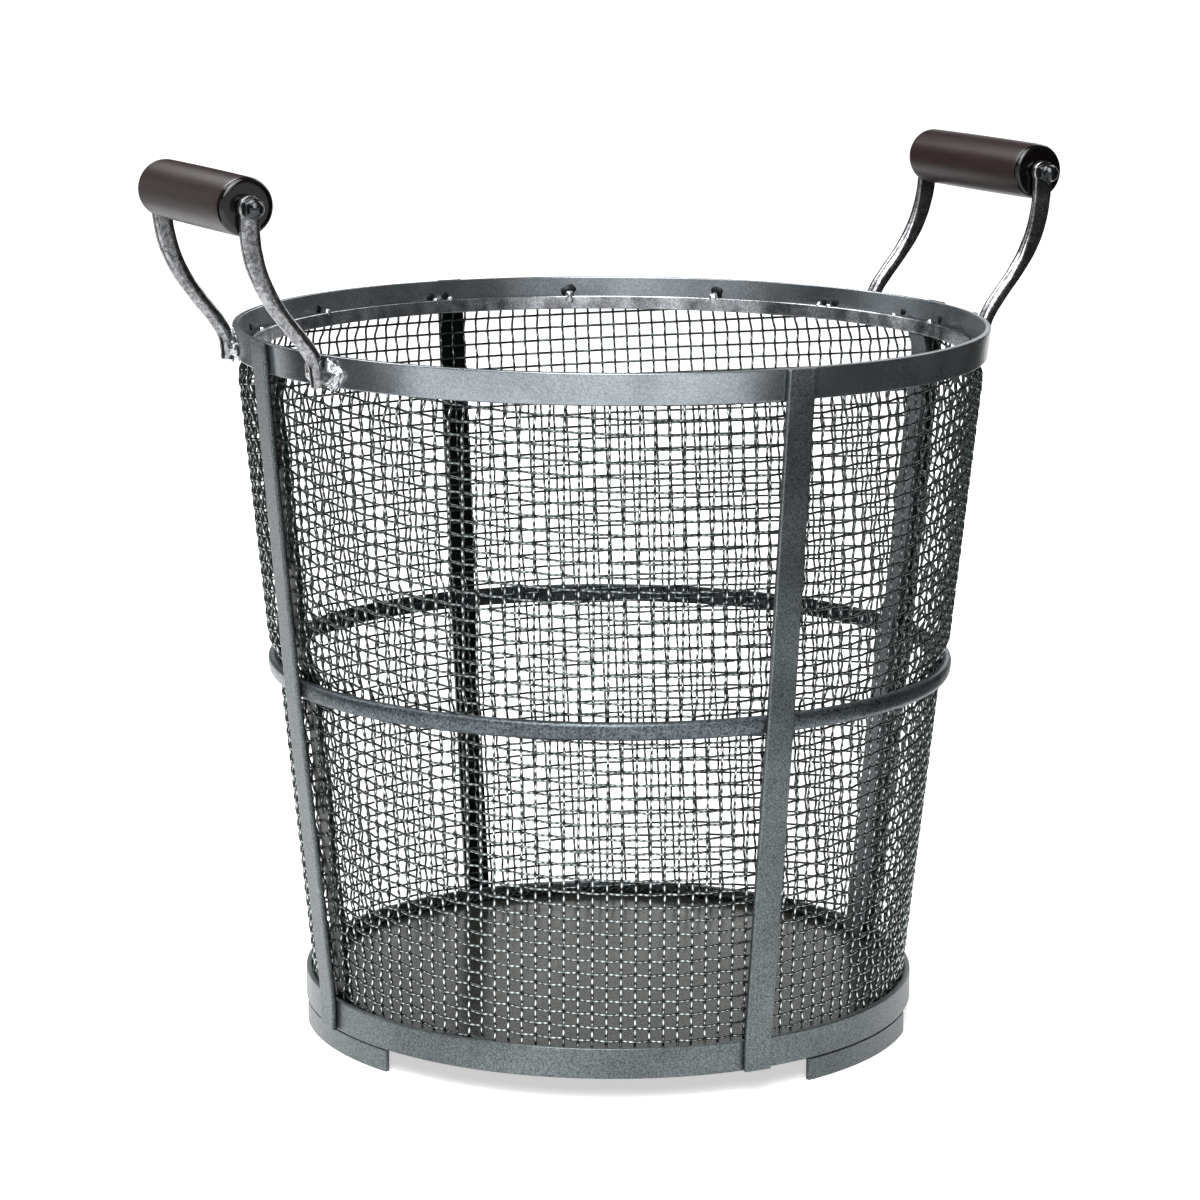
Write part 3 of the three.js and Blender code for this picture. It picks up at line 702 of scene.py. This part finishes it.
def postSkin(side, end, seed):
    # An oval section carried up a straight foot, a cubic curve and a straight top, flattening as it goes,
    # then widened to the round eye; noise on the surface stands for the hammering
    axis = gripAxis["right_grip"]
    y = (postLow.y + postHigh.y) / 2
    lowZ = rimLow.z

    def againstRim(z):
        r = wallOutside(z) + seatGap + post["radius"]
        return np.stack([np.sqrt(r * r - y * y), z], -1)

    footPart = againstRim(np.linspace(lowZ, lowZ + post["straightFoot"], post["footRows"]))
    way = unit(footPart[-1] - footPart[0])
    top = np.array([axis[0], axis[2] - post["straightTop"]])
    knots = [footPart[-1], footPart[-1] + way * post["lowerBend"], top - [0, post["upperBend"]], top]
    t = np.linspace(0, 1, post["curveRows"])[1:, None]
    curve = ((1 - t) ** 3 * knots[0] + 3 * (1 - t) ** 2 * t * knots[1]
             + 3 * (1 - t) * t ** 2 * knots[2] + t ** 3 * knots[3])
    swing = np.radians(np.linspace(*post["eyeSwing"], post["eyeRows"]))
    eyePart = np.stack([np.full(len(swing), axis[0]), axis[2] + post["eyeRadius"] * np.sin(swing)], -1)
    eyePart = eyePart[eyePart[:, 1] > top[1] + post["eyeLead"]]
    line = np.concatenate([footPart, curve, eyePart])
    along = unit(np.gradient(line, axis=0))
    share = np.concatenate([np.zeros(len(footPart)), t[:, 0], np.ones(len(eyePart))])
    flat = eased(np.clip((share - post["flattenFrom"]) / (1 - post["flattenFrom"]), 0, 1))
    halfWidth = post["radius"] + (post["paddleHalfWidth"] - post["radius"]) * flat
    halfThick = post["radius"] + (post["paddleHalfThick"] - post["radius"]) * flat
    above = line[:, 1] - axis[2]
    eyeWidth = np.sqrt(np.clip(post["eyeRadius"] ** 2 - above ** 2, 0, None))
    halfWidth = np.where(above > 0, eyeWidth, np.maximum(halfWidth, eyeWidth))
    halfThick = np.maximum(halfThick, np.where(eyeWidth > 0, post["eyeHalfThick"], 0))
    turn = (np.arange(post["sides"]) + 0.5) / post["sides"] * fullTurn
    power = (2 / (2 + post["squareness"] * flat))[:, None]  # from round towards a flat bar with soft edges
    across = np.sign(np.cos(turn)) * np.abs(np.cos(turn)) ** power * halfWidth[:, None]
    through = np.sign(np.sin(turn)) * np.abs(np.sin(turn)) ** power * halfThick[:, None]
    x = line[:, :1] + across * along[:, 1:]
    z = line[:, 1:] - across * along[:, :1]
    points = np.stack([x, y * end * side + through, z], -1)
    outward = unit(points - points.mean(1, keepdims=True))
    relief = post["hammer"] * smoothNoise(points, post["hammerSize"], seed)
    relief += post["pit"] * smoothNoise(points, post["pitSize"], seed + post["pitSeed"])
    points += outward * (relief * np.minimum(1, halfWidth / post["paddleHalfThick"])[:, None])[..., None]
    return closedSkin(points * np.array([side, side, 1.0]))


def makePosts():
    for seed, (corner, (side, end)) in enumerate(post["corners"].items()):
        addPiece(f"post_{corner}_forging", postSkin(side, end, seed), coats["forged"],
                 replaced=[f"post_{corner}"])


# Welds where a post meets the rim, and tacks along the inner band, each tack with a near-black blob above it
# as a painted shadow
weld = {
    "halfSizes": np.array([3.8, 6.0, 7.4]) * mm, "aside": 6.4 * mm, "beadRise": 7 * mm, "beadOut": 0.8 * mm,
    "root": 2.0 * mm,  # how deep a bead bites into the rim
    "tackHalfSizes": np.array([2.4, 2.7, 3.6]) * mm, "shadowHalfSizes": np.array([1.3, 3.9, 3.6]) * mm,
    "tackDrop": 0.8 * mm, "tackIn": 1.2 * mm, "shadowRise": 2.2 * mm,
    # depth and size of the lumps in radii, and the angle at each pole that a fan closes
    "lump": {"depth": 0.5, "size": 0.5, "rows": 24, "columns": 32, "pole": 0.12},
    "tackLump": {"depth": 0.3, "size": 0.7, "rows": 14, "columns": 20, "pole": 0.12},
    "seeds": {"bead": 11, "tack": 40, "tackShadow": 70},
    "tackAngles": [143.4, 118.7, 94.3, 91.6, 69.9, 44.7, 24.5, 22.5, 6.9,
                   170, 200, 232, 262, 291, 322, 356.1],
    "largeTacks": (69.9, 44.7),
    "smallShare": 0.62,  # size of the other tacks beside the large ones
}


def wallAxes(out):
    # Away from Z, round it and up
    return np.stack([out, np.cross(upward, out), upward])


def makeWelds():
    y = (postLow.y + postHigh.y) / 2
    beadZ = rimLow.z + weld["beadRise"]
    r = wallOutside(beadZ) + weld["beadOut"]
    seeds = weld["seeds"]
    skins = []
    for k, (side, end) in enumerate(post["corners"].values()):
        for flank in (-1, 1):
            beadY = y * end + flank * weld["aside"]
            out = np.array([side * math.sqrt(r * r - beadY * beadY), beadY, 0]) / r
            centre = atRadius(out, r, beadZ)
            points, faceSets = blobSkin(centre, wallAxes(out), weld["halfSizes"], weld["lump"],
                                        seeds["bead"] + 2 * k + flank)
            reach = np.hypot(points[:, 0], points[:, 1])
            root = wallOutside(points[:, 2]) - weld["root"]
            points[:, :2] *= np.maximum(1, root / reach)[:, None]
            skins.append((points, faceSets))
    addPiece("post_weld_beads", joinSkins(skins), coats["weld"])
    tacks, tackShadows, lump = [], [], weld["tackLump"]
    for k, degrees in enumerate(weld["tackAngles"]):
        out = radialWays(math.radians(degrees))
        axes = wallAxes(out)
        share = 1.0 if degrees in weld["largeTacks"] else weld["smallShare"]
        tackZ, shadowZ = bandHigh.z - weld["tackDrop"] * share, bandHigh.z + weld["shadowRise"] * share
        tackAt = atRadius(out, bandHigh.x - weld["tackIn"], tackZ)
        tacks.append(blobSkin(tackAt, axes, weld["tackHalfSizes"] * share, lump, seeds["tack"] + k))
        # a near-black blob just above each tack: a painted shadow
        shadowAt = atRadius(out, wallOutside(shadowZ) - barThick, shadowZ)
        tackShadows.append(blobSkin(shadowAt, axes, weld["shadowHalfSizes"] * share, lump, seeds["tackShadow"] + k))
    addPiece("band_weld_tacks", joinSkins(tacks), coats["weld"])
    addPiece("band_tack_painted_shadows", joinSkins(tackShadows), coats["seam"])


# Grips
grip = {"sides": 96, "endRadius": 3.2 * mm, "endRows": 9, "crown": 0.25 * mm, "rows": 28,
        "flatLead": 0.6 * mm}  # to a ring just inside the rounded end, so that the end shades flat


def makeGrips():
    # A cylinder with a slight crown and rounded ends, turned about Y
    half = (gripHigh.y - gripLow.y) / 2
    radius = (gripHigh.z - gripLow.z) / 2
    bend = np.linspace(0, math.pi / 2, grip["endRows"])
    endAlong = -half + grip["endRadius"] * (1 - np.cos(bend))
    endRadius = radius - grip["endRadius"] * (1 - np.sin(bend))
    body = np.linspace(-half + grip["endRadius"], half - grip["endRadius"], grip["rows"])[1:-1]
    along = np.concatenate([[-half], endAlong, body, -endAlong[::-1], [half]])
    flatEdge = radius - grip["endRadius"] - grip["flatLead"]
    ringRadius = np.concatenate([[flatEdge], endRadius, np.full(len(body), radius),
                                 endRadius[::-1], [flatEdge]])
    ringRadius = ringRadius - grip["crown"] * (along / half) ** 2
    turn = evenTurn(grip["sides"])
    ring = np.stack([np.outer(ringRadius, np.cos(turn)), np.repeat(along[:, None], grip["sides"], 1),
                     np.outer(ringRadius, np.sin(turn))], -1)
    for side in ("right", "left"):
        addPiece(f"grip_{side}_turning", closedSkin(ring + gripAxis[f"{side}_grip"]), gripLacquer,
                 body=f"{side}_grip", replaced=[f"grip_{side}"])


# Domed nuts
nut = {"flats": 10 * mm, "hexHeight": 5 * mm, "chamfer": 0.55 * mm, "sides": 72,
       "cone": ((0, 1.6), (0.5, 0.6), (1, 0)),  # from a face and off the corners, in chamfers
       "dome": 4.6 * mm, "domeSwing": 84, "domeRows": 14}


def makeNuts():
    # Radius about the rod: a hexagon cut by a cone at both faces, then a hemisphere
    turn = evenTurn(nut["sides"])
    hexagon = nut["flats"] / 2 / np.cos((turn + math.pi / 6) % (math.pi / 3) - math.pi / 6)
    corner = nut["flats"] / math.sqrt(3)
    high, cut = nut["hexHeight"], nut["chamfer"]
    rows = [(cut * up, corner - off * cut) for up, off in nut["cone"]]
    rows += [(high - up, radius) for up, radius in rows[::-1]]
    along = [up for up, _ in rows]
    ringRadius = [np.minimum(hexagon, radius) for _, radius in rows]
    for swing in np.radians(np.linspace(0, nut["domeSwing"], nut["domeRows"])):
        along.append(high + nut["dome"] * math.sin(swing))
        ringRadius.append(np.full(nut["sides"], nut["dome"] * math.cos(swing)))
    along, ringRadius = np.array(along), np.array(ringRadius)
    for side in ("right", "left"):
        for end, sign in (("front", -1), ("back", 1)):
            centre = gripAxis[f"{side}_grip"]
            ring = np.stack([centre[0] + ringRadius * np.cos(turn),
                             np.broadcast_to((sign * (nutLow.y + along))[:, None], ringRadius.shape),
                             centre[2] + ringRadius * np.sin(turn)], -1)
            addPiece(f"nut_{side}_{end}_cap", closedSkin(ring), coats["nut"],
                     replaced=[f"nut_{side}_{end}"])
        rod = frame["nodes"][f"rod_{side}"]
        rod.data.materials.clear()
        rod.data.materials.append(coats["nut"])


makeHoops()
makeStraps()
makeFeet()
makePlate()
print("frame of bars made")
makeWeave()
makeHem()
makeSeams()
print("mesh made")
makePosts()
makeWelds()
makeGrips()
makeNuts()
print("handles made")


# Stage, light and camera
stage = {"size": 40.0, "wallRadius": 9.0, "wallHeight": 3.0, "wallSides": 96, "world": 0.16,
         "floorTone": "#cfcfcf", "liftNear": 0.58, "liftFar": 1.0,
         "near": 0.4, "far": 1.8,  # metres from the bin over which the paper's lift grows
         "aim": 0.2}  # metres up the bin, where the lamps point
view = {"azimuth": -27.44, "distance": 2.1667, "height": 0.6561, "pitch": 11.196, "yaw": -0.143,
        "roll": 0.292, "lens": 123.66, "sensor": 36.0, "clipEnd": 100.0}
blackCard = {"fibre": 2.5 * mm, "dark": "#141414", "light": "#1c1c1c", "rough": 0.9}
lamps = {
    # name: azimuth and elevation round the bin in degrees, distance and size in metres, watts
    "keyFront": (-30, 42, 3.0, 1.8, 95),
    "topSoft": (-50, 68, 2.6, 1.6, 70),
    "sideLeft": (-120, 40, 2.6, 1.4, 36),
    "backLeft": (-160, 50, 2.4, 1.2, 45),
    "backRight": (120, 35, 2.8, 1.6, 25),
}
flags = {
    # name: where its two ends stand, as metres to the right and towards the camera, its foot and head,
    # and how far behind its foot the head lies
    "flagRight": ((0.45, 0.6), (0.45, -0.6), 0, 0.7, 0),
    "flagLeft": ((-0.7, 0.45), (-0.7, -0.2), 0, 1.0, 0),
    "flagBack": ((-0.85, -0.58), (-0.36, -0.83), 0.14, 1.0, 0),
    "flagAbove": ((-0.5, -0.76), (0.12, -1.08), 0.42, 1.3, 0),
    "flagUnder": ((-0.26, -0.55), (0.1, -0.55), 0.005, 0.005, 0.5),
}


def towards(azimuth, elevation=0.0):
    # Unit vector away from the bin, by degrees round from the front and up
    a, e = math.radians(azimuth), math.radians(elevation)
    return np.array([math.sin(a) * math.cos(e), -math.cos(a) * math.cos(e), math.sin(e)])


def seenRays(tree):
    # One for rays that show the background: straight from the camera, or by way of metal or glass
    path = addNode(tree, "LightPath")
    direct = addNode(tree, "Math", {"operation": "MAXIMUM"}, {
        0: path.outputs["Is Camera Ray"], 1: path.outputs["Is Glossy Ray"]})
    both = addNode(tree, "Math", {"operation": "MAXIMUM"}, {
        0: direct.outputs["Value"], 1: path.outputs["Is Transmission Ray"]})
    return both.outputs["Value"]


def makeStage():
    floor = bpy.data.meshes.new("floor")
    half = stage["size"] / 2
    corners = [(-half, -half, 0), (half, -half, 0), (half, half, 0), (-half, half, 0)]
    floor.from_pydata(corners, [], [(0, 1, 2, 3)])
    ground = addObject("floor", floor)
    # White paper sweep: the eye sees it burn out to white away from the bin, with a soft shadow under the bin
    material, tree, shader, place = startMaterial("white_paper_sweep")
    tree.nodes.remove(shader)
    away = addNode(tree, "VectorMath", {"operation": "LENGTH"}, {0: place})
    level = addNode(tree, "MapRange", {"interpolation_type": "SMOOTHSTEP"}, {
        "Value": away.outputs["Value"], "From Min": stage["near"], "From Max": stage["far"],
        "To Min": stage["liftNear"], "To Max": stage["liftFar"]})
    lift = addNode(tree, "Math", {"operation": "MULTIPLY"}, {
        0: seenRays(tree), 1: level.outputs["Result"]})
    paper = addNode(tree, "BsdfDiffuse", {}, {"Color": linear(stage["floorTone"])})
    glow = addNode(tree, "Emission", {}, {"Strength": lift.outputs["Value"]})
    both = addNode(tree, "AddShader", {}, {0: paper.outputs["BSDF"], 1: glow.outputs["Emission"]})
    output = next(node for node in tree.nodes if node.type == "OUTPUT_MATERIAL")
    feed(tree, output, {"Surface": both.outputs["Shader"]})
    floor.materials.append(material)
    # a wall of the same paper far round the set, so that a low view is white too
    wallFoot = stage["wallRadius"] * radialWays(evenTurn(stage["wallSides"]))
    points = np.concatenate([wallFoot, wallFoot + stage["wallHeight"] * upward])
    wall = bpy.data.meshes.new("wall")
    wall.from_pydata(points.tolist(), [], gridQuads(2, stage["wallSides"]).tolist())
    wall.materials.append(material)
    backdrop = addObject("wall", wall)


def makeWorld():
    world = bpy.data.worlds.new("studio")
    bpy.context.scene.world = world
    world.use_nodes = True
    tree = world.node_tree
    tree.nodes.clear()
    back = addNode(tree, "Background", {}, {"Color": linear("#ffffff"), "Strength": stage["world"]})
    addNode(tree, "OutputWorld", {}, {"Surface": back.outputs["Background"]})


def makeFlags():
    # Black cards round the set, one of them on the floor, as a metal product is lit, so that its bars show
    # dark as well as light
    material, tree, shader, place = startMaterial("black_card")
    fibre = addNode(tree, "TexNoise", {}, {"Vector": place, "Scale": 1 / blackCard["fibre"]})
    black = addNode(tree, "ValToRGB", {}, {"Fac": fibre.outputs["Fac"]},
                    [(0.3, blackCard["dark"]), (0.7, blackCard["light"])])
    feed(tree, shader, {"Base Color": black.outputs["Color"], "Roughness": blackCard["rough"]})
    toCamera = towards(view["azimuth"])
    toRight = np.cross(upward, toCamera)
    for name, (first, last, low, high, lay) in flags.items():
        ends = [right * toRight + near * toCamera for right, near in (first, last)]
        feet = [end + low * upward for end in ends]
        heads = [end + high * upward - lay * toCamera for end in ends]
        corners = [feet[0], feet[1], heads[1], heads[0]]
        mesh = bpy.data.meshes.new(name)
        mesh.from_pydata([tuple(corner) for corner in corners], [], [(0, 1, 2, 3)])
        card = addObject(name, mesh)
        card.visible_camera = card.visible_diffuse = card.visible_shadow = False
        mesh.materials.append(material)


def makeLamps():
    for name, (azimuth, elevation, distance, size, watts) in lamps.items():
        lamp = bpy.data.lights.new(name, "AREA")
        lamp.shape, lamp.size, lamp.energy = "SQUARE", size, watts
        holder = addObject(name, lamp)
        turn = Matrix.Rotation(math.radians(azimuth), 4, "Z")
        turn = turn @ Matrix.Rotation(math.radians(90 - elevation), 4, "X")
        stand = towards(azimuth, elevation) * distance + stage["aim"] * upward
        holder.matrix_world = Matrix.Translation(stand) @ turn
        holder.visible_camera = False


def makeCamera():
    camera = bpy.data.cameras.new("camera")
    camera.lens, camera.sensor_width, camera.clip_end = view["lens"], view["sensor"], view["clipEnd"]
    holder = addObject("camera", camera)
    stand = towards(view["azimuth"]) * view["distance"] + view["height"] * upward
    turn = Matrix.Rotation(math.radians(view["azimuth"] - view["yaw"]), 4, "Z")
    turn = turn @ Matrix.Rotation(math.radians(90 - view["pitch"]), 4, "X")
    turn = turn @ Matrix.Rotation(math.radians(view["roll"]), 4, "Z")
    holder.matrix_world = Matrix.Translation(stand) @ turn
    bpy.context.scene.camera = holder


makeStage()
makeWorld()
makeFlags()
makeLamps()
makeCamera()
bpy.context.scene.view_settings.view_transform = "Standard"
print("stage, lamps and camera set")
